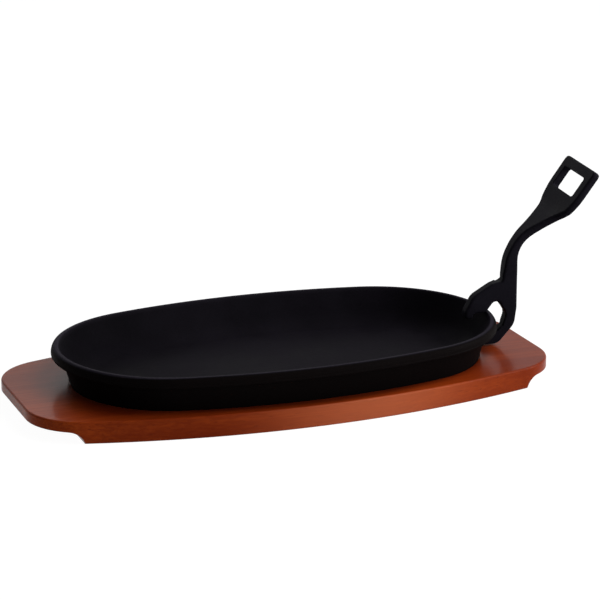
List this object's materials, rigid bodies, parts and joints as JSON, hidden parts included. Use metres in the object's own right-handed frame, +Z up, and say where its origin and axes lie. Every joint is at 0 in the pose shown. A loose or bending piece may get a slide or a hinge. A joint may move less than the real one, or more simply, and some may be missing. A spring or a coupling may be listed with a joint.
{
  "type": "sizzle platter",
  "caption": "Oval cast iron pan standing in the recess of a rounded wooden underliner, with a gripper handle hooked over its rim.",
  "frame": {"origin": "middle of the board's underside", "axes": "+Z up, +X towards the end with the gripper handle"},
  "size_m": [0.3435, 0.1538, 0.1184],
  "materials": {
    "seasoned_iron": "satin, seasoned",
    "varnished_wood": "varnished",
    "handle_iron": "satin, seasoned"
  },
  "bodies": {
    "root": {"pan": "seasoned_iron", "board": "varnished_wood", "handle": "handle_iron"}
  },
  "joints": []
}
